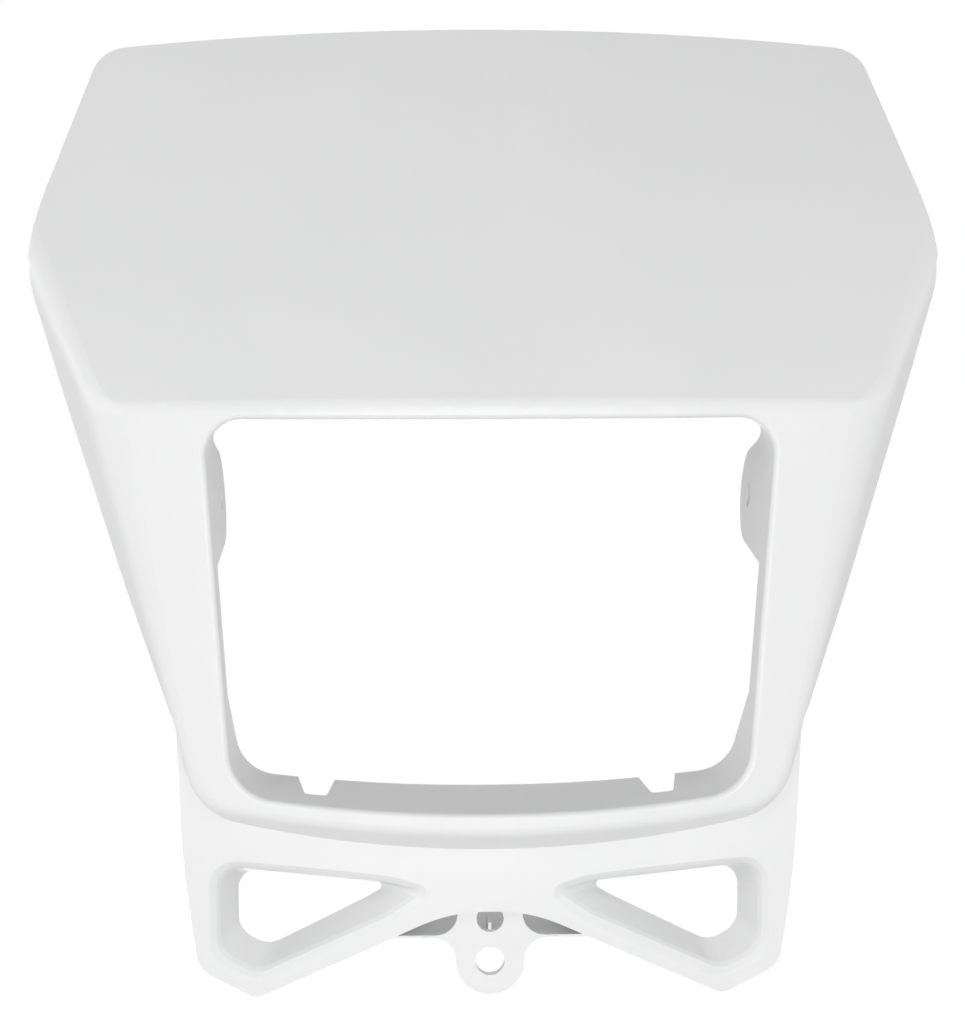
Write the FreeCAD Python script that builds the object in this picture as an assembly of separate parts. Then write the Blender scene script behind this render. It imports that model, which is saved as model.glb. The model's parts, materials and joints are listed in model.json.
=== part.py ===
import FreeCAD, Part
import math
import os

os.makedirs("parts", exist_ok=True)

Vector = FreeCAD.Vector

# Moulding wall
WALL = 2.8

# Headlight opening, measured from its reference height
OPENING_RISE = 55.3
OPENING_DROP = 59.7
OPENING_TOP_WIDTH = 165.0
OPENING_LOWER_WIDTH = 150.5
OPENING_TOP_RADIUS = 11.0
OPENING_LOWER_RADIUS = 14.0
OPENING_SMILE = 5.1
OPENING_SMILE_RADIUS = 480.0
OPENING_SMILE_WIDTH = 60.0
OPENING_EDGE_ROUND = 1.6

# Rim, the bowed front face round the opening, with its land at each side and its sloping lip below
RIM_BOW_RADIUS = 600.0
RIM_SIDE_LAND = 14.35
LIP_HEIGHT = 6.0
LIP_CURVE_RADIUS = 280.0
LIP_SLOPE_ANGLE = 40.0
RIM_ROUND_TOP = 16.0
RIM_ROUND_LOW = 4.0
LOWER_CORNER_RADIUS = 20.0

# Side walls: their slant, and how far back they reach low down and at the shoulder
SIDE_FLARE_ANGLE = 19.65
SIDE_TAPER_ANGLE = 13.4
SIDE_REAR_LOW = 8.6
SIDE_REAR_LOW_DROP = 33.0
SIDE_REAR_KNEE = 23.5
SIDE_REAR_KNEE_RISE = 3.0
SIDE_REAR_WAIST = 39.0
SIDE_REAR_WAIST_RISE = 62.0
SIDE_REAR_TOP = 45.9
SIDE_REAR_TOP_RISE = 97.0
SIDE_REAR_BEND_RADIUS = 120.0

# Crowned number panel above the brow
BROW_LAND = 4.6
BROW_ROUND = 6.5
RIDGE_ROUND = 18.0
PANEL_LEAN_ANGLE = 35.0
PANEL_CROWN_RADIUS = 640.0
PANEL_LENGTH = 129.0
PANEL_TOP_WIDTH = 231.0
PANEL_TOP_RADIUS = 10.0
SHOULDER_DISTANCE = 61.0
SHOULDER_WIDTH = 273.8
SHOULDER_RADIUS = 130.0
SHOULDER_TUCK_ANGLE = 1.9

# Return flange behind the opening
FLANGE_DRAFT_ANGLE = 2.0
FLANGE_TOP_DEPTH = 14.0
FLANGE_SIDE_DEPTH = 17.0
LEDGE_DEPTH = 33.5
LEDGE_HEIGHT = 16.0

# Notches in the rear edge of the ledge
NOTCH_SPACING = 102.0
NOTCH_FLOOR_WIDTH = 6.4
NOTCH_MOUTH_WIDTH = 11.0
NOTCH_DEPTH = 18.5
NOTCH_CORNER_RADIUS = 1.4

# Pivot ears
EAR_SETBACK = 46.0
EAR_RISE = 27.0
EAR_RADIUS = 14.0
EAR_TOP_RISE = 52.0
EAR_LOW_RISE = 11.0
PIVOT_DIAMETER = 7.0
PIVOT_CLEARANCE = 0.2

# Lower grille outline, measured down from the opening's reference height
GRILLE_SETBACK = 7.0
GRILLE_BOW_RADIUS = 1500.0
GRILLE_TOP_DROP = 31.0
GRILLE_TOP_HALF_WIDTH = 91.3
GRILLE_WAIST_DROP = 76.0
GRILLE_WAIST_HALF_WIDTH = 89.7
GRILLE_WAIST_BLEND = 12.1
GRILLE_CORNER_DROP = 107.6
GRILLE_CORNER_HALF_WIDTH = 85.5
GRILLE_CORNER_RADIUS = 8.0
GRILLE_TIP_DROP = 116.3
GRILLE_TIP_INSET = 16.7
GRILLE_TIP_RADIUS = 5.0
GRILLE_WALL_TOP_DEPTH = 18.0
GRILLE_WALL_DEPTH = 32.0
GRILLE_WALL_FULL_DROP = 62.0
ARCH_DROP = 90.4
ARCH_HALF_WIDTH = 11.5
ARCH_RADIUS = 45.0

# Grille openings: bars left on the grille face round each one, and its slope towards the middle
SIDE_BAR = 4.9
CORNER_BAR = 3.8
LOWER_BAR = 6.4
WINDOW_HEAD_DROP = 76.4
WINDOW_HEAD_SLOPE = 0.103
WINDOW_APEX_HALF_SPACING = 18.6
WINDOW_APEX_DROP = 84.6
WINDOW_APEX_RUN = 10.0
WINDOW_HEAD_RADIUS = 6.0
WINDOW_CORNER_RADIUS = 7.5
WINDOW_APEX_RADIUS = 1.4
WINDOW_EASE_RADIUS = 13.0
WINDOW_EDGE_ROUND = 2.5

# Return walls of the grille openings: how far each side leans in over their depth
WINDOW_TURN_ANGLE = 1.9
WINDOW_FACE_DEPTH = 6.5
RETURN_DEPTH = 11.0
RETURN_SIDE_LEAN = 6.2
RETURN_HEAD_LEAN = 3.0
RETURN_FOOT_LEAN = 5.3
RETURN_EASE_LEAN = 6.9
RETURN_APEX_LEAN = 11.1
RETURN_RUN_LEAN = 3.5

# Shelf under the grille
SHELF_DROP = 98.2
SHELF_HALF_WIDTH = 33.0
SHELF_DEPTH = 39.0
SHELF_EDGE = 0.7
SHELF_THICKNESS = 2.2
SHELF_TAPER_LENGTH = 10.0

# Fixing tab below the shelf, and the gusset and rib above it
TAB_THICKNESS = 3.2
TAB_OVERLAP = 0.4
TAB_RADIUS = 10.0
TAB_HOLE_DIAMETER = 8.0
TAB_HOLE_CLEARANCE = 0.6
TAB_HOLE_DROP = 106.0
TAB_CUSP_HALF_WIDTH = 20.0
TAB_CUSP_THICKNESS = 2.0
TAB_FLARE_RADIUS = 6.6
GUSSET_RADIUS = 9.6
GUSSET_TOP_RADIUS = 6.0
GUSSET_FLARE_RADIUS = 6.4
GUSSET_HOLE_DIAMETER = 8.0
GUSSET_HOLE_DROP = 93.2
RIB_THICKNESS = 1.0
RIB_HEIGHT = 3.4
RIB_SHORTFALL = 8.0

# Construction: reach beyond the part, how far cutters pass what they cut, and the length of full bodies
REACH = 300.0
OVERRUN = 20.0
SLIGHT_OVERRUN = 2.0
SKIN = 0.2
FORM_DEPTH = 120.0
ON_SURFACE = 0.02

FLARE = math.tan(math.radians(SIDE_FLARE_ANGLE))
TAPER = math.tan(math.radians(SIDE_TAPER_ANGLE))
LIP_SLOPE = math.tan(math.radians(LIP_SLOPE_ANGLE))
LIP_STRETCH = 1.0 / math.cos(math.radians(LIP_SLOPE_ANGLE))
DRAFT = math.tan(math.radians(FLANGE_DRAFT_ANGLE))
LEAN = math.radians(PANEL_LEAN_ANGLE)
GRILLE_TIP_HALF_WIDTH = GRILLE_CORNER_HALF_WIDTH - GRILLE_TIP_INSET
ARCH_SLOPE = (GRILLE_TIP_DROP - ARCH_DROP) / (GRILLE_TIP_HALF_WIDTH - ARCH_HALF_WIDTH)

RIGHT = Vector(1, 0, 0)
REARWARD = Vector(0, 1, 0)
UPWARD = Vector(0, 0, 1)
PANEL_UP = Vector(0, math.sin(LEAN), math.cos(LEAN))
PANEL_OUT = Vector(0, -math.cos(LEAN), math.sin(LEAN))
BROW = Vector(0, 0, OPENING_RISE + BROW_LAND)
PANEL_AXIS = BROW - PANEL_OUT * PANEL_CROWN_RADIUS
LIP_CENTRE = LIP_CURVE_RADIUS - OPENING_DROP - LIP_HEIGHT
SIDE_NORMAL = Vector(1, -FLARE, -TAPER).normalize()
SIDE_POINT = Vector(OPENING_TOP_WIDTH / 2 + RIM_SIDE_LAND, 0, 0)
TAB_FRONT = GRILLE_SETBACK + WALL - TAB_OVERLAP


def offset_corners(corners, grow):
    """Corners (across, up, radius) of a closed outline moved outward by grow."""
    count = len(corners)
    area = 0.0
    for i in range(count):
        a, b = corners[i], corners[(i + 1) % count]
        area += a[0] * b[1] - b[0] * a[1]
    turn = 1.0 if area > 0 else -1.0
    lines = []
    for i in range(count):
        a, b = corners[i], corners[(i + 1) % count]
        length = math.hypot(b[0] - a[0], b[1] - a[1])
        dx, dy = (b[0] - a[0]) / length, (b[1] - a[1]) / length
        lines.append((a[0] + dy * turn * grow, a[1] - dx * turn * grow, dx, dy))
    moved = []
    for i in range(count):
        px, py, pdx, pdy = lines[i - 1]
        qx, qy, qdx, qdy = lines[i]
        cross = pdx * qdy - pdy * qdx
        along = ((qx - px) * qdy - (qy - py) * qdx) / cross
        convex = 1.0 if cross * turn > 0 else -1.0
        radius = corners[i][2] + convex * grow if corners[i][2] > 0 else 0.0
        moved.append((px + pdx * along, py + pdy * along, radius))
    return moved


def rounded_wire(corners, origin, across, up):
    """Closed wire through (across, up, radius) corners, each corner rounded to its radius."""
    count = len(corners)
    ends = []
    for i in range(count):
        before, here, after = corners[i - 1], corners[i], corners[(i + 1) % count]
        if here[2] <= 0:
            ends.append([(here[0], here[1])])
            continue
        ax, ay = before[0] - here[0], before[1] - here[1]
        bx, by = after[0] - here[0], after[1] - here[1]
        la, lb = math.hypot(ax, ay), math.hypot(bx, by)
        ax, ay, bx, by = ax / la, ay / la, bx / lb, by / lb
        half = math.acos(max(-1.0, min(1.0, ax * bx + ay * by))) / 2
        run = here[2] / math.tan(half)
        mx, my = ax + bx, ay + by
        ml = math.hypot(mx, my)
        rise = here[2] / math.sin(half) - here[2]
        ends.append([
            (here[0] + ax * run, here[1] + ay * run),
            (here[0] + mx / ml * rise, here[1] + my / ml * rise),
            (here[0] + bx * run, here[1] + by * run),
        ])

    def place(point):
        return origin + across * point[0] + up * point[1]

    edges = []
    for i in range(count):
        if len(ends[i]) == 3:
            edges.append(Part.Arc(*[place(p) for p in ends[i]]).toShape())
        start, stop = place(ends[i][-1]), place(ends[(i + 1) % count][0])
        if start.distanceToPoint(stop) > ON_SURFACE:
            edges.append(Part.LineSegment(start, stop).toShape())
    return Part.Wire(edges)


def prism(corners, origin, across, up, sweep):
    """Solid swept from a rounded outline."""
    return Part.Face(rounded_wire(corners, origin, across, up)).extrude(sweep)


def half_space(point, normal):
    """Large block whose face passes through point, on the side away from normal."""
    block = Part.makeBox(2 * REACH, 4 * REACH, 4 * REACH, Vector(-2 * REACH, -2 * REACH, -2 * REACH))
    block.Placement = FreeCAD.Placement(point, FreeCAD.Rotation(RIGHT, normal))
    return block


def rim_cylinder(setback):
    """Upright cylinder whose front lies the given distance behind the rim face."""
    base = Vector(0, RIM_BOW_RADIUS, -REACH)
    return Part.makeCylinder(RIM_BOW_RADIUS - setback, 2 * REACH, base, UPWARD)


def grille_cylinder(setback):
    """Upright cylinder whose front lies the given distance behind the rim at the middle plane."""
    base = Vector(0, GRILLE_BOW_RADIUS, -REACH)
    return Part.makeCylinder(GRILLE_BOW_RADIUS - setback, 2 * REACH, base, UPWARD)


def panel_cylinder(inset):
    """Leaning cylinder that crowns the number panel."""
    base = PANEL_AXIS - PANEL_UP * REACH
    return Part.makeCylinder(PANEL_CROWN_RADIUS - inset, 2 * REACH, base, PANEL_UP)


def lip_cone(inset):
    """Sloping skirt under the opening as the inside of a wide cone."""
    length = OVERRUN + FORM_DEPTH
    small = LIP_CURVE_RADIUS - inset * LIP_STRETCH - OVERRUN * LIP_SLOPE
    start = Vector(0, -OVERRUN, LIP_CENTRE)
    return Part.makeCone(small, small + length * LIP_SLOPE, length, start, REARWARD)


def edges_between(shape, first, second):
    """Edges whose midpoints lie on both surfaces."""
    found = []
    for edge in shape.Edges:
        middle = edge.valueAt((edge.FirstParameter + edge.LastParameter) / 2)
        if abs(first(middle)) < ON_SURFACE and abs(second(middle)) < ON_SURFACE:
            found.append(edge)
    return found


def front_edges(shape, cutter):
    """Edges left on the bowed rim face by a cutter that passed through it."""
    found = []
    for edge in shape.Edges:
        middle = edge.valueAt((edge.FirstParameter + edge.LastParameter) / 2)
        off_face = math.hypot(middle.x, middle.y - RIM_BOW_RADIUS) - RIM_BOW_RADIUS
        if abs(off_face) < ON_SURFACE and cutter.distToShape(Part.Vertex(middle))[0] < ON_SURFACE:
            found.append(edge)
    return found


def frame_form(inset):
    """Right half of the rim, side wall and panel as a full body, moved inward by inset."""
    side = half_space(SIDE_POINT - SIDE_NORMAL * inset, SIDE_NORMAL)
    right_half = Part.makeBox(REACH, OVERRUN + FORM_DEPTH, 2 * REACH, Vector(0, -OVERRUN, -REACH))
    form = rim_cylinder(inset).common(panel_cylinder(inset)).common(side)
    form = form.common(lip_cone(inset)).common(right_half)

    def off_rim(p):
        return math.hypot(p.x, p.y - RIM_BOW_RADIUS) - RIM_BOW_RADIUS + inset

    def off_panel(p):
        q = p - PANEL_AXIS
        return math.hypot(q.x, q.dot(PANEL_OUT)) - PANEL_CROWN_RADIUS + inset

    def off_side(p):
        return (p - SIDE_POINT).dot(SIDE_NORMAL) + inset

    def off_lip(p):
        level = LIP_CURVE_RADIUS + p.y * LIP_SLOPE - inset * LIP_STRETCH
        return math.hypot(p.x, p.z - LIP_CENTRE) - level

    form = form.makeFillet(LOWER_CORNER_RADIUS - inset, edges_between(form, off_side, off_lip))
    rim_edge = edges_between(form, off_rim, off_side)
    form = form.makeFillet(RIM_ROUND_TOP - inset, RIM_ROUND_LOW - inset, rim_edge)
    ridge = edges_between(form, off_panel, off_side)
    return form.makeFillet(RIDGE_ROUND - inset, BROW_ROUND - inset, ridge)


def frame_limit():
    """Side view limit of the frame: the rear edge of the side walls and the leaning panel."""
    top_rear = SIDE_REAR_TOP + REACH * math.sin(LEAN)
    top_rise = SIDE_REAR_TOP_RISE + REACH * math.cos(LEAN)
    corners = [
        (-OVERRUN, -REACH, 0),
        (SIDE_REAR_LOW, -REACH, 0),
        (SIDE_REAR_LOW, -SIDE_REAR_LOW_DROP, 0),
        (SIDE_REAR_KNEE, SIDE_REAR_KNEE_RISE, SIDE_REAR_BEND_RADIUS),
        (SIDE_REAR_WAIST, SIDE_REAR_WAIST_RISE, SIDE_REAR_BEND_RADIUS),
        (SIDE_REAR_TOP, SIDE_REAR_TOP_RISE, 0),
        (top_rear, top_rise, 0),
        (-OVERRUN, top_rise, 0),
    ]
    return prism(corners, Vector(-REACH, 0, 0), REARWARD, UPWARD, RIGHT * 2 * REACH)


def panel_limit():
    """Outline of the number panel, swept along the panel's own normal."""
    tuck = (REACH + SHOULDER_DISTANCE) * math.tan(math.radians(SHOULDER_TUCK_ANGLE))
    corners = [
        (-OVERRUN, -REACH, 0),
        (SHOULDER_WIDTH / 2 - tuck, -REACH, 0),
        (SHOULDER_WIDTH / 2, SHOULDER_DISTANCE, SHOULDER_RADIUS),
        (PANEL_TOP_WIDTH / 2, PANEL_LENGTH, PANEL_TOP_RADIUS),
        (-OVERRUN, PANEL_LENGTH, 0),
    ]
    return prism(corners, BROW - PANEL_OUT * REACH, RIGHT, PANEL_UP, PANEL_OUT * 2 * REACH)


def grille_corners(top_drop):
    """Right half of the grille outline, running a little past the middle plane."""
    narrowing = math.atan2(GRILLE_TOP_HALF_WIDTH - GRILLE_WAIST_HALF_WIDTH, GRILLE_WAIST_DROP - top_drop)
    waist_run = GRILLE_CORNER_DROP - GRILLE_WAIST_DROP
    tucking = math.atan2(GRILLE_WAIST_HALF_WIDTH - GRILLE_CORNER_HALF_WIDTH, waist_run)
    waist_radius = GRILLE_WAIST_BLEND / math.tan(abs(tucking - narrowing) / 2)
    return [
        (-OVERRUN, -top_drop, 0),
        (GRILLE_TOP_HALF_WIDTH, -top_drop, 0),
        (GRILLE_WAIST_HALF_WIDTH, -GRILLE_WAIST_DROP, waist_radius),
        (GRILLE_CORNER_HALF_WIDTH, -GRILLE_CORNER_DROP, GRILLE_CORNER_RADIUS),
        (GRILLE_TIP_HALF_WIDTH, -GRILLE_TIP_DROP, GRILLE_TIP_RADIUS),
        (ARCH_HALF_WIDTH, -ARCH_DROP, ARCH_RADIUS),
        (-OVERRUN, -ARCH_DROP, 0),
    ]


def grille_limit():
    """Side view limit of the grille walls."""
    low = -GRILLE_TIP_DROP - OVERRUN
    corners = [
        (-OVERRUN, -GRILLE_TOP_DROP, 0),
        (GRILLE_WALL_TOP_DEPTH, -GRILLE_TOP_DROP, 0),
        (GRILLE_WALL_DEPTH, -GRILLE_WALL_FULL_DROP, 0),
        (GRILLE_WALL_DEPTH, low, 0),
        (-OVERRUN, low, 0),
    ]
    return prism(corners, Vector(-REACH, 0, 0), REARWARD, UPWARD, RIGHT * 2 * REACH)


def grille_body():
    """Full body of the right half of the grille."""
    start = Vector(0, -OVERRUN, 0)
    body = prism(grille_corners(GRILLE_TOP_DROP), start, RIGHT, UPWARD, REARWARD * FORM_DEPTH)
    right_half = Part.makeBox(REACH, 2 * REACH, 2 * REACH, Vector(0, -REACH, -REACH))
    return body.common(right_half).common(grille_cylinder(GRILLE_SETBACK)).common(grille_limit())


def grille_cavity():
    """Hollow behind the grille face, inside its outer wall and open at the top."""
    inner = offset_corners(grille_corners(GRILLE_TOP_DROP - 2 * WALL), -WALL)
    hollow = prism(inner, Vector(0, -OVERRUN, 0), RIGHT, UPWARD, REARWARD * FORM_DEPTH)
    return hollow.common(grille_cylinder(GRILLE_SETBACK + WALL))


def window_corners(depth, grow):
    """Outline of the right grille opening at a depth behind the grille face."""
    share = depth / RETURN_DEPTH
    side = GRILLE_CORNER_HALF_WIDTH - SIDE_BAR - RETURN_SIDE_LEAN * share
    head = -WINDOW_HEAD_DROP - RETURN_HEAD_LEAN * share
    corner = CORNER_BAR - GRILLE_CORNER_DROP + RETURN_FOOT_LEAN * share
    tip = GRILLE_TIP_HALF_WIDTH - RETURN_SIDE_LEAN * share / 2
    apex = WINDOW_APEX_HALF_SPACING + RETURN_APEX_LEAN * share
    ease = apex + WINDOW_APEX_RUN - RETURN_RUN_LEAN * share

    def foot(across):
        return LOWER_BAR - GRILLE_TIP_DROP + (GRILLE_TIP_HALF_WIDTH - across) * ARCH_SLOPE

    corners = [
        (side, head, WINDOW_HEAD_RADIUS),
        (side, corner, WINDOW_CORNER_RADIUS),
        (tip, foot(tip) + RETURN_FOOT_LEAN * share, WINDOW_CORNER_RADIUS),
        (ease, foot(ease) + RETURN_EASE_LEAN * share, WINDOW_EASE_RADIUS),
        (apex, -WINDOW_APEX_DROP, WINDOW_APEX_RADIUS),
        (ease, head - (side - ease) * WINDOW_HEAD_SLOPE, WINDOW_EASE_RADIUS),
    ]
    return offset_corners(corners, grow)


def window_loft(sections):
    """Tapered body through the right grille opening, from (depth, growth) sections."""
    turn = math.radians(WINDOW_TURN_ANGLE)
    across = Vector(math.cos(turn), math.sin(turn), 0)
    inward = Vector(-math.sin(turn), math.cos(turn), 0)
    wires = []
    for depth, grow in sections:
        origin = Vector(0, WINDOW_FACE_DEPTH, 0) + inward * depth
        wires.append(rounded_wire(window_corners(depth, grow), origin, across, UPWARD))
    return Part.makeLoft(wires, True, True)


def window_cutter():
    """Cutter for the grille opening with its rounded front edge."""
    sections = [(-SLIGHT_OVERRUN, 2 * WINDOW_EDGE_ROUND)]
    for angle in (30.0, 60.0, 90.0):
        turn = math.radians(angle)
        depth = WINDOW_EDGE_ROUND * (1 - math.cos(turn))
        sections.append((depth, WINDOW_EDGE_ROUND * (1 - math.sin(turn))))
    sections.append((RETURN_DEPTH + SLIGHT_OVERRUN, 0.0))
    return window_loft(sections)


def shell_half():
    """Right half of the moulded shell with its grille opening."""
    outer = frame_form(0.0).common(frame_limit()).common(panel_limit())
    body = grille_body()
    inner = frame_form(WALL)
    behind_grille = grille_cylinder(GRILLE_SETBACK + WALL + SKIN)
    upper = half_space(Vector(0, 0, -GRILLE_TOP_DROP), -UPWARD)
    shell = outer.fuse(body).cut(inner.cut(behind_grille)).cut(inner.common(upper)).cut(grille_cavity())
    band = grille_cylinder(GRILLE_SETBACK).cut(grille_cylinder(GRILLE_SETBACK + RETURN_DEPTH))
    returns = window_loft([(-SLIGHT_OVERRUN, WALL), (RETURN_DEPTH + SLIGHT_OVERRUN, WALL)])
    returns = returns.common(band).common(body)
    return shell.fuse(returns).cut(window_cutter()).removeSplitter()


def opening_corners(depth, grow):
    """Outline of the headlight opening at a depth behind the rim, with the flange draft."""
    top = OPENING_TOP_WIDTH / 2
    low = OPENING_LOWER_WIDTH / 2
    smile = OPENING_SMILE_WIDTH / 2
    corners = [
        (-top, OPENING_RISE, OPENING_TOP_RADIUS),
        (top, OPENING_RISE, OPENING_TOP_RADIUS),
        (low, OPENING_SMILE - OPENING_DROP, OPENING_LOWER_RADIUS),
        (smile, -OPENING_DROP, OPENING_SMILE_RADIUS),
        (-smile, -OPENING_DROP, OPENING_SMILE_RADIUS),
        (-low, OPENING_SMILE - OPENING_DROP, OPENING_LOWER_RADIUS),
    ]
    return offset_corners(corners, grow - depth * DRAFT)


def opening_loft(grow):
    """Drafted body through the headlight opening."""
    wires = []
    for depth in (-OVERRUN, FORM_DEPTH):
        wires.append(rounded_wire(opening_corners(depth, grow), Vector(0, depth, 0), RIGHT, UPWARD))
    return Part.makeLoft(wires, True, True)


def tangent_point(anchor, side):
    """Point where a line from anchor touches the ear lobe, on the upper or lower side."""
    dy, dz = anchor[0] - EAR_SETBACK, anchor[1] - EAR_RISE
    angle = math.atan2(dz, dy) + side * math.acos(EAR_RADIUS / math.hypot(dy, dz))
    return EAR_SETBACK + EAR_RADIUS * math.cos(angle), EAR_RISE + EAR_RADIUS * math.sin(angle)


def flange_limit():
    """Side view limit of the return flange: top, pivot ears, plain sides and ledge."""
    ledge_top = LEDGE_HEIGHT - OPENING_DROP
    ledge_slope_top = ledge_top + LEDGE_DEPTH - FLANGE_SIDE_DEPTH
    upper = (FLANGE_TOP_DEPTH, EAR_TOP_RISE)
    lower = (FLANGE_SIDE_DEPTH, EAR_LOW_RISE)
    lower_touch = tangent_point(lower, 1)
    upper_touch = tangent_point(upper, -1)
    ear_tip = (EAR_SETBACK + EAR_RADIUS, EAR_RISE)
    below = [
        (-OVERRUN, -REACH),
        (LEDGE_DEPTH, -REACH),
        (LEDGE_DEPTH, ledge_top),
        (FLANGE_SIDE_DEPTH, ledge_slope_top),
        lower,
        lower_touch,
    ]
    above = [upper_touch, upper, (FLANGE_TOP_DEPTH, REACH), (-OVERRUN, REACH), below[0]]

    def place(point):
        return Vector(-REACH, point[0], point[1])

    lobe = Part.Arc(place(lower_touch), place(ear_tip), place(upper_touch)).toShape()
    runs = Part.makePolygon([place(p) for p in below]).Edges
    runs.append(lobe)
    runs.extend(Part.makePolygon([place(p) for p in above]).Edges)
    return Part.Face(Part.Wire(runs)).extrude(RIGHT * 2 * REACH)


def return_flange(opening):
    """Flange tube behind the opening's rounded edge, with the ledge and the pivot ears."""
    tube = opening_loft(WALL).cut(opening)
    return tube.common(rim_cylinder(OPENING_EDGE_ROUND + SKIN)).common(flange_limit())


def ledge_notches():
    """Cutters for the two notches in the rear edge of the ledge."""
    floor = LEDGE_DEPTH - NOTCH_DEPTH
    mouth = LEDGE_DEPTH + OVERRUN
    widen = (NOTCH_MOUTH_WIDTH - NOTCH_FLOOR_WIDTH) / NOTCH_DEPTH * (mouth - floor)
    base = Vector(0, 0, -OPENING_DROP - 2 * WALL)
    cutters = []
    for side in (-1, 1):
        middle = side * NOTCH_SPACING / 2
        corners = [
            (middle - NOTCH_FLOOR_WIDTH / 2, floor, NOTCH_CORNER_RADIUS),
            (middle + NOTCH_FLOOR_WIDTH / 2, floor, NOTCH_CORNER_RADIUS),
            (middle + (NOTCH_FLOOR_WIDTH + widen) / 2, mouth, 0),
            (middle - (NOTCH_FLOOR_WIDTH + widen) / 2, mouth, 0),
        ]
        cutters.append(prism(corners, base, RIGHT, REARWARD, UPWARD * (OPENING_SMILE + 5 * WALL)))
    return cutters


def shelf():
    """Tapered shelf that closes the underside between the grille bars."""
    front = GRILLE_SETBACK + WALL
    corners = [
        (front, -SHELF_DROP, 0),
        (SHELF_DEPTH, -SHELF_DROP, 0),
        (SHELF_DEPTH, -SHELF_DROP - SHELF_THICKNESS, 0),
        (front + SHELF_TAPER_LENGTH, -SHELF_DROP - SHELF_THICKNESS, 0),
        (front, -SHELF_DROP - SHELF_EDGE, 0),
    ]
    start = Vector(-SHELF_HALF_WIDTH, 0, 0)
    return prism(corners, start, REARWARD, UPWARD, RIGHT * 2 * SHELF_HALF_WIDTH)


def arch_pocket():
    """Hollow between the arch edge of the grille face and the shelf."""
    low = -SHELF_DROP
    high = -ARCH_DROP + WALL * math.hypot(1.0, ARCH_SLOPE)
    foot = ARCH_HALF_WIDTH + (SHELF_DROP - ARCH_DROP) / ARCH_SLOPE
    head = ARCH_HALF_WIDTH
    corners = [
        (-foot, low, 0),
        (foot, low, 0),
        (head, high, 0),
        (-head, high, 0),
    ]
    pocket = prism(corners, Vector(0, 0, 0), RIGHT, UPWARD, REARWARD * FORM_DEPTH)
    return pocket.common(grille_cylinder(GRILLE_SETBACK + WALL))


def round_hole(diameter, drop):
    """Cutter for a round hole through the tab plate."""
    base = Vector(0, TAB_FRONT - TAB_THICKNESS, -drop)
    return Part.makeCylinder(diameter / 2, 3 * TAB_THICKNESS, base, REARWARD)


def fixing_tab():
    """Fixing tab and gusset plate with its two holes, drawn out to a cusp along the shelf edge."""
    low = -TAB_HOLE_DROP
    high = -GUSSET_HOLE_DROP
    fold = -SHELF_DROP - SHELF_EDGE / 2
    below = fold - TAB_CUSP_THICKNESS / 2
    above = fold + TAB_CUSP_THICKNESS / 2
    right = [
        (TAB_RADIUS, low - TAB_RADIUS, TAB_RADIUS),
        (TAB_RADIUS, below, TAB_FLARE_RADIUS),
        (TAB_CUSP_HALF_WIDTH, fold, 0),
        (GUSSET_RADIUS, above, GUSSET_FLARE_RADIUS),
        (GUSSET_RADIUS, high + GUSSET_RADIUS, GUSSET_TOP_RADIUS),
    ]
    left = [(-across, up, radius) for across, up, radius in reversed(right)]
    plate = prism(right + left, Vector(0, TAB_FRONT, 0), RIGHT, UPWARD, REARWARD * TAB_THICKNESS)
    fixing = round_hole(TAB_HOLE_DIAMETER + TAB_HOLE_CLEARANCE, TAB_HOLE_DROP)
    return plate.cut(fixing).cut(round_hole(GUSSET_HOLE_DIAMETER, GUSSET_HOLE_DROP))


def centre_rib():
    """Thin upright rib behind the gusset, standing on the shelf."""
    front = TAB_FRONT + TAB_THICKNESS - TAB_OVERLAP
    length = GRILLE_WALL_DEPTH - RIB_SHORTFALL - front
    corner = Vector(-RIB_THICKNESS / 2, front, -SHELF_DROP - SHELF_EDGE / 2)
    return Part.makeBox(RIB_THICKNESS, length, RIB_HEIGHT, corner)


def fairing():
    """Complete one-piece headlight fairing, with the pivot axis at the origin."""
    half = shell_half()
    shell = half.fuse(half.mirror(Vector(0, 0, 0), RIGHT)).removeSplitter()
    opening = opening_loft(0.0)
    shell = shell.cut(opening)
    shell = shell.makeFillet(OPENING_EDGE_ROUND, front_edges(shell, opening))
    shell = shell.fuse(return_flange(opening)).removeSplitter()
    for cutter in ledge_notches():
        shell = shell.cut(cutter)
    pivot = (PIVOT_DIAMETER + PIVOT_CLEARANCE) / 2
    bore = Part.makeCylinder(pivot, 2 * REACH, Vector(-REACH, EAR_SETBACK, EAR_RISE), RIGHT)
    shell = shell.cut(bore)
    shell = shell.cut(arch_pocket()).fuse([shelf(), fixing_tab(), centre_rib()])
    shell = shell.removeSplitter()
    shell.translate(Vector(0, -EAR_SETBACK, -EAR_RISE))
    return shell


part = fairing()
print("solids", len(part.Solids), "valid", part.isValid(), "volume", round(part.Volume))
part.Solids[0].exportStep("parts/headlight_fairing.step")
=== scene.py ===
"""White moulded motorcycle headlight fairing over a pale studio floor."""
import json
import logging
import math
from dataclasses import dataclass, field
from enum import Enum
from typing import Any, Dict, List, Tuple, Union

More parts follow.
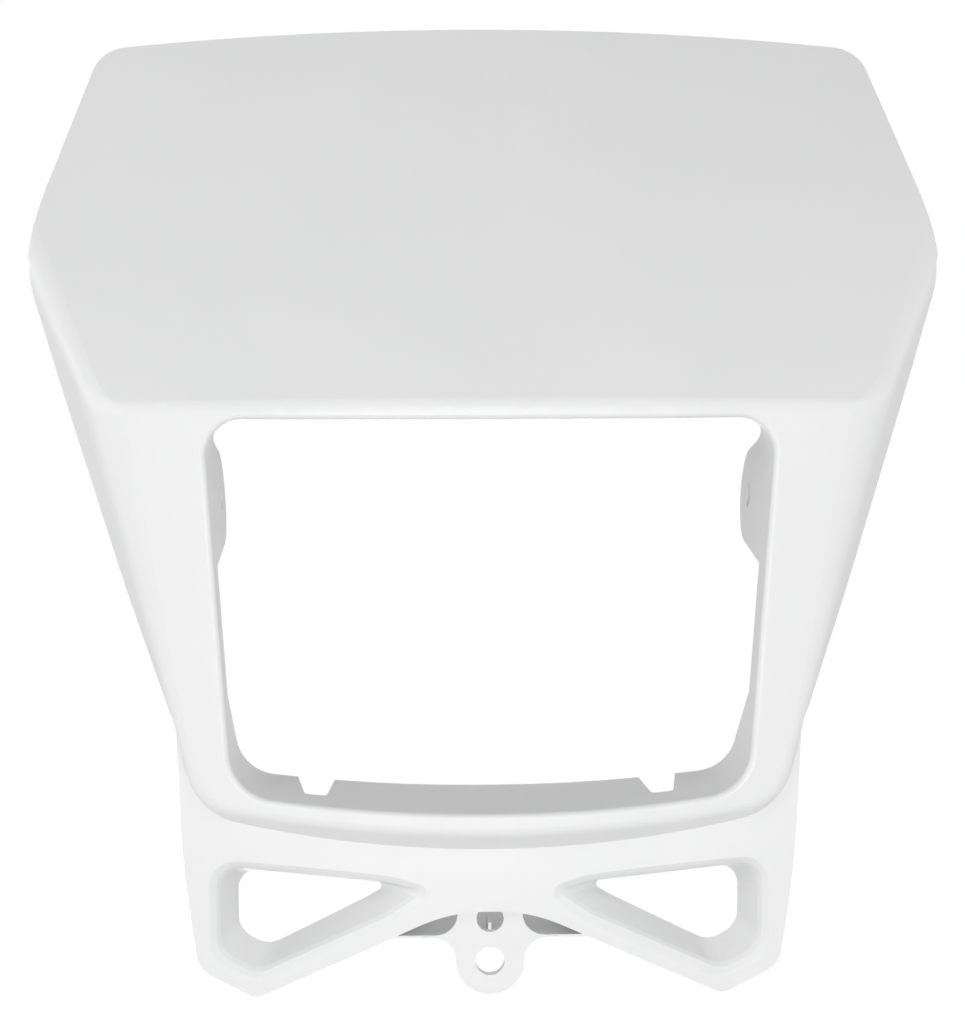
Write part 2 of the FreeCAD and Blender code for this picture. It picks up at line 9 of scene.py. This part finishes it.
import bmesh
import bpy
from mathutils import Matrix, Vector

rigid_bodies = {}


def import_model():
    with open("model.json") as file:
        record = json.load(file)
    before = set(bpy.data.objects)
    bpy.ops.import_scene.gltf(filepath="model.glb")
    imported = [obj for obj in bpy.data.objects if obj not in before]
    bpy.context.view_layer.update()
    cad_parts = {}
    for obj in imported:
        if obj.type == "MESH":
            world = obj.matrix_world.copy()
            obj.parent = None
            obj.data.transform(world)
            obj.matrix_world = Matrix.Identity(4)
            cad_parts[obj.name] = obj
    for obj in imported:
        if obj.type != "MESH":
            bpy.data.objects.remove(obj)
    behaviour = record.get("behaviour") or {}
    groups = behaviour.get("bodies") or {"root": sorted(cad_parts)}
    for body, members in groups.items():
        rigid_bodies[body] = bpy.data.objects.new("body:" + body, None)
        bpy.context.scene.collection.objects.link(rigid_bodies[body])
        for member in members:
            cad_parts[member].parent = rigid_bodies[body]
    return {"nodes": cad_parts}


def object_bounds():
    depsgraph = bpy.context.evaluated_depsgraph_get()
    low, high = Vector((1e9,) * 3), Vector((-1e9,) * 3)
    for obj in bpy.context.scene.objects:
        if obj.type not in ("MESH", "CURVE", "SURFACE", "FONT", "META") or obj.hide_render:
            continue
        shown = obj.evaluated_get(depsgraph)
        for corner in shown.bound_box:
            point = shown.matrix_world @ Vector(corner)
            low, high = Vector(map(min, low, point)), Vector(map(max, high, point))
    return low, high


for leftover in list(bpy.data.objects):
    bpy.data.objects.remove(leftover)

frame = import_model()
CAD_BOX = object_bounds()

Colour = Tuple[float, float, float]
Point = Tuple[float, float, float]
Operand = Union["Sock", float]

LOG = logging.getLogger("headlight_fairing")
NODE = "headlight_fairing"
WHITE: Colour = (1.0, 1.0, 1.0)
FULL_STRENGTH = 1.0
NOISE_MIDDLE = 0.5


class LampRole(Enum):
    """What a studio lamp does."""

    KEY = "key"
    HIGH_LEFT = "high_left"
    HIGH_RIGHT = "high_right"
    LEFT = "left"
    RIGHT = "right"
    BACK = "back"


def opaque(colour: Colour) -> Tuple[float, float, float, float]:
    """Colour with full alpha."""
    return (*colour, 1.0)


class Sock:
    """An output socket with arithmetic, so that shader maths reads as an expression."""

    def __init__(self, graph: "Graph", socket: bpy.types.NodeSocket) -> None:
        """Keep the graph that gets the maths nodes, and the socket that is wrapped."""
        self.graph = graph
        self.socket = socket

    def sibling(self, output: str) -> "Sock":
        """Another output of the same node."""
        return Sock(self.graph, self.socket.node.outputs[output])

    def _maths(self, operation: str, first: Operand, second: Operand) -> "Sock":
        """Value of one new maths node on two operands."""
        return self.graph.node("ShaderNodeMath", {"operation": operation}, {0: first, 1: second})

    def __add__(self, other: Operand) -> "Sock":
        """Sum."""
        return self._maths("ADD", self, other)

    def __radd__(self, other: Operand) -> "Sock":
        """Sum with a number on the left."""
        return self._maths("ADD", other, self)

    def __sub__(self, other: Operand) -> "Sock":
        """Difference."""
        return self._maths("SUBTRACT", self, other)

    def __rsub__(self, other: Operand) -> "Sock":
        """Difference with a number on the left."""
        return self._maths("SUBTRACT", other, self)

    def __mul__(self, other: Operand) -> "Sock":
        """Product."""
        return self._maths("MULTIPLY", self, other)

    def __rmul__(self, other: Operand) -> "Sock":
        """Product with a number on the left."""
        return self._maths("MULTIPLY", other, self)

    def limited(self, low: float, high: float) -> "Sock":
        """Value kept between two numbers."""
        return self._maths("MINIMUM", self._maths("MAXIMUM", self, low), high)


class Graph:
    """A node tree with one method that makes every node."""

    def __init__(self, tree: bpy.types.NodeTree) -> None:
        """Take a node tree and empty it."""
        self.tree = tree
        self.tree.nodes.clear()

    def node(self, kind: str, settings: Dict[str, Any], inputs: Dict[Union[str, int], Any],
             output: Union[str, int] = 0) -> Sock:
        """Add a node, set it up and feed its sockets.

        Args:
            kind: the node's type name.
            settings: the node's own settings; "stops" gives a ramp's positions and colours.
            inputs: values or wrapped sockets by input name or place.
            output: the output to return.

        Returns:
            The wanted output, wrapped, or the first input of a node that has no output.
        """
        made = self.tree.nodes.new(kind)
        for name, value in settings.items():
            if name == "stops":
                self._set_stops(made.color_ramp, value)
            else:
                setattr(made, name, value)
        for key, value in inputs.items():
            if isinstance(value, Sock):
                self.tree.links.new(value.socket, made.inputs[key])
            else:
                made.inputs[key].default_value = value
        return Sock(self, made.outputs[output] if made.outputs else made.inputs[0])

    def background_rays(self) -> Sock:
        """Mark the rays that see the background straight, in a mirror or through glass.

        Returns:
            One for such a ray and zero for any other.
        """
        straight = self.node("ShaderNodeLightPath", {}, {}, "Is Camera Ray")
        mirrored = straight.sibling("Is Glossy Ray")
        passed = straight.sibling("Is Transmission Ray")
        return (straight + mirrored + passed).limited(0.0, 1.0)

    @staticmethod
    def _set_stops(ramp: bpy.types.ColorRamp, stops: List[Tuple[float, Colour]]) -> None:
        """Give a ramp its stops.

        Args:
            ramp: the ramp to set.
            stops: position and colour of each stop, two or more.
        """
        while len(ramp.elements) < len(stops):
            ramp.elements.new(1.0)
        for element, (position, colour) in zip(ramp.elements, stops):
            element.position = position
            element.color = opaque(colour)


@dataclass(frozen=True)
class Noise:
    """One layer of noise in a finish; the scale counts its features in a metre."""

    scale: float
    detail: float = 2.0
    roughness: float = 0.5
    distortion: float = 0.0

    def build(self, graph: Graph, place: Sock) -> Sock:
        """Value of the noise at a place."""
        return graph.node("ShaderNodeTexNoise", {}, {
            "Vector": place, "Scale": self.scale, "Detail": self.detail,
            "Roughness": self.roughness, "Distortion": self.distortion})


@dataclass(frozen=True)
class MouldedPlastic:
    """Satin white polypropylene with a very fine moulded grain and faint flow marks."""

    name: str = "white_moulded_plastic"
    pale: Colour = (0.850, 0.852, 0.850)
    dull: Colour = (0.815, 0.818, 0.818)
    pale_stop: float = 0.7
    dull_stop: float = 0.3
    specular: float = 0.45
    flow: Noise = Noise(scale=9.0, detail=4.0, roughness=0.55, distortion=0.6)
    patch: Noise = Noise(scale=63.0, detail=3.0, roughness=0.6)
    grain: Noise = Noise(scale=2600.0)
    wave: Noise = Noise(scale=26.0, detail=1.0, roughness=0.4)
    grain_depth: float = 0.00003
    wave_depth: float = 0.00012
    roughness: float = 0.40
    roughness_spread: float = 0.16
    roughness_limits: Tuple[float, float] = (0.2, 0.8)
    flow_share: float = 0.5
    patch_share: float = 0.5
    grain_share: float = 0.5

    def build(self) -> bpy.types.Material:
        """Make the material.

        Returns:
            The finished material.
        """
        material = bpy.data.materials.new(self.name)
        material.use_nodes = True
        graph = Graph(material.node_tree)
        place = graph.node("ShaderNodeTexCoord", {}, {}, "Object")
        flow = self.flow.build(graph, place)
        patch = self.patch.build(graph, place)
        grain = self.grain.build(graph, place)
        wave = self.wave.build(graph, place)
        colour = graph.node("ShaderNodeValToRGB", {
            "stops": [(self.dull_stop, self.dull), (self.pale_stop, self.pale)]}, {0: flow})
        clouds = flow * self.flow_share + patch * self.patch_share - NOISE_MIDDLE
        roughness = self.roughness + clouds * self.roughness_spread
        roughness = roughness + (grain - NOISE_MIDDLE) * (self.roughness_spread * self.grain_share)
        swell = graph.node("ShaderNodeBump", {}, {
            "Strength": FULL_STRENGTH, "Distance": self.wave_depth, "Height": wave})
        skin = graph.node("ShaderNodeBump", {}, {
            "Strength": FULL_STRENGTH, "Distance": self.grain_depth, "Height": grain,
            "Normal": swell})
        shader = graph.node("ShaderNodeBsdfPrincipled", {}, {
            "Base Color": colour, "Roughness": roughness.limited(*self.roughness_limits),
            "Normal": skin, "Specular IOR Level": self.specular})
        graph.node("ShaderNodeOutputMaterial", {}, {"Surface": shader})
        return material


@dataclass(frozen=True)
class StudioPaper:
    """Pale matt paper that fades into the white background far from the object."""

    name: str = "studio_paper"
    colour: Colour = (0.90, 0.90, 0.90)
    roughness: float = 0.9
    fibre: Noise = Noise(scale=900.0)
    fibre_strength: float = 0.2
    fibre_depth: float = 0.0001
    fade_start: float = 0.45
    fade_end: float = 1.10
    camera_white: float = 0.6

    def build(self) -> bpy.types.Material:
        """Make the material.

        Returns:
            The finished material.
        """
        material = bpy.data.materials.new(self.name)
        material.use_nodes = True
        graph = Graph(material.node_tree)
        place = graph.node("ShaderNodeTexCoord", {}, {}, "Object")
        fibre = self.fibre.build(graph, place)
        away = graph.node("ShaderNodeVectorMath", {"operation": "LENGTH"}, {0: place}, "Value")
        fade = graph.node("ShaderNodeMapRange", {"interpolation_type": "SMOOTHSTEP"}, {
            "Value": away, "From Min": self.fade_start, "From Max": self.fade_end})
        tooth = graph.node("ShaderNodeBump", {}, {
            "Strength": self.fibre_strength, "Distance": self.fibre_depth, "Height": fibre})
        paper = graph.node("ShaderNodeBsdfDiffuse", {}, {
            "Color": opaque(self.colour), "Roughness": self.roughness, "Normal": tooth})
        white = graph.node("ShaderNodeEmission", {}, {
            "Color": opaque(WHITE), "Strength": FULL_STRENGTH})
        whiteness = self.camera_white + fade * (1.0 - self.camera_white)
        share = graph.background_rays() * whiteness
        blend = graph.node("ShaderNodeMixShader", {}, {0: share, 1: paper, 2: white})
        graph.node("ShaderNodeOutputMaterial", {}, {"Surface": blend})
        return material


@dataclass
class Fairing:
    """The one-piece fairing, dressed in white plastic."""

    finish: MouldedPlastic = field(default_factory=MouldedPlastic)

    def build(self) -> None:
        """Dress the fairing's node."""
        shell = frame["nodes"][NODE]
        material = self.finish.build()
        for slot in shell.material_slots:
            slot.material = material
        LOG.info("dressed %s in %s", shell.name, material.name)


@dataclass(frozen=True)
class Lamp:
    """A round soft lamp: its place and width in metres, its watts and its spread in degrees."""

    place: Point
    width: float
    power: float
    spread: float = 180.0

    def build(self, name: str, aim: Point) -> None:
        """Hang the lamp and turn it to a point.

        Args:
            name: the lamp's name.
            aim: the point that it faces.
        """
        light = bpy.data.lights.new(name, "AREA")
        light.shape = "DISK"
        light.size = self.width
        light.energy = self.power
        light.spread = math.radians(self.spread)
        lamp = bpy.data.objects.new(name, light)
        lamp.location = self.place
        facing = Vector(aim) - Vector(self.place)
        lamp.rotation_euler = facing.to_track_quat("-Z", "Y").to_euler()
        bpy.context.scene.collection.objects.link(lamp)
        LOG.info("hung the %s lamp", name)


@dataclass
class Studio:
    """Pale floor, soft lamps and an even surround."""

    floor_gap: float = 0.42
    floor_size: float = 6.0
    floor_segments: int = 4
    paper: StudioPaper = field(default_factory=StudioPaper)
    surround: float = 0.205
    lamps: Dict[LampRole, Lamp] = field(default_factory=lambda: {
        LampRole.KEY: Lamp(place=(0.0, -1.1, -0.02), width=0.6, power=6.3),
        LampRole.HIGH_LEFT: Lamp(place=(-0.8, -0.7, 0.55), width=0.6, power=2.5),
        LampRole.HIGH_RIGHT: Lamp(place=(0.8, -0.7, 0.55), width=0.6, power=2.0),
        LampRole.LEFT: Lamp(place=(-1.1, 0.0, 0.1), width=0.6, power=2.8),
        LampRole.RIGHT: Lamp(place=(1.1, 0.0, 0.1), width=0.6, power=1.8),
        LampRole.BACK: Lamp(place=(0.0, 0.5, -0.37), width=0.2, power=0.11, spread=70.0),
    })
    aim: Point = (0.0, 0.0, 0.0)

    def build_floor(self) -> None:
        """Lay the floor, well below the fairing."""
        height = CAD_BOX[0].z - self.floor_gap
        mesh = bpy.data.meshes.new("studio_floor")
        work = bmesh.new()
        bmesh.ops.create_grid(work, x_segments=self.floor_segments,
                              y_segments=self.floor_segments, size=self.floor_size / 2)
        bmesh.ops.translate(work, verts=work.verts, vec=Vector((0.0, 0.0, height)))
        work.to_mesh(mesh)
        work.free()
        floor = bpy.data.objects.new("studio_floor", mesh)
        floor.data.materials.append(self.paper.build())
        bpy.context.scene.collection.objects.link(floor)
        LOG.info("laid %s", floor.name)

    def build_lamps(self) -> None:
        """Hang the lamps, each turned to the fairing."""
        for role, lamp in self.lamps.items():
            lamp.build(role.value, self.aim)

    def build_surround(self) -> None:
        """Light evenly from all round, with white where the background is seen or mirrored."""
        world = bpy.data.worlds.new("studio_surround")
        bpy.context.scene.world = world
        world.use_nodes = True
        graph = Graph(world.node_tree)
        light = graph.node("ShaderNodeBackground", {}, {
            "Color": opaque(WHITE), "Strength": self.surround})
        white = graph.node("ShaderNodeBackground", {}, {
            "Color": opaque(WHITE), "Strength": FULL_STRENGTH})
        blend = graph.node("ShaderNodeMixShader", {}, {
            0: graph.background_rays(), 1: light, 2: white})
        graph.node("ShaderNodeOutputWorld", {}, {"Surface": blend})
        LOG.info("set the surround")


@dataclass
class PhotoCamera:
    """Camera at the photograph's viewing angle, its angles in degrees, its lens in millimetres."""

    place: Point = (-0.0356, -0.9316, 0.1293)
    pitch: float = 81.818
    yaw: float = -2.135
    lens: float = 110.35
    sensor: float = 36.0

    def build(self) -> None:
        """Set up the camera and make it the scene's own."""
        data = bpy.data.cameras.new("photo_camera")
        data.lens = self.lens
        data.sensor_width = self.sensor
        camera = bpy.data.objects.new("photo_camera", data)
        camera.location = self.place
        camera.rotation_euler = (math.radians(self.pitch), 0.0, math.radians(self.yaw))
        bpy.context.scene.collection.objects.link(camera)
        bpy.context.scene.camera = camera
        LOG.info("set the camera")


def main() -> None:
    """Build the scene in order."""
    logging.basicConfig(level=logging.INFO, format="%(name)s: %(message)s")
    bpy.context.scene.view_settings.view_transform = "Standard"
    PhotoCamera().build()
    Fairing().build()
    studio = Studio()
    studio.build_floor()
    studio.build_lamps()
    studio.build_surround()


if __name__ == "__main__":
    main()
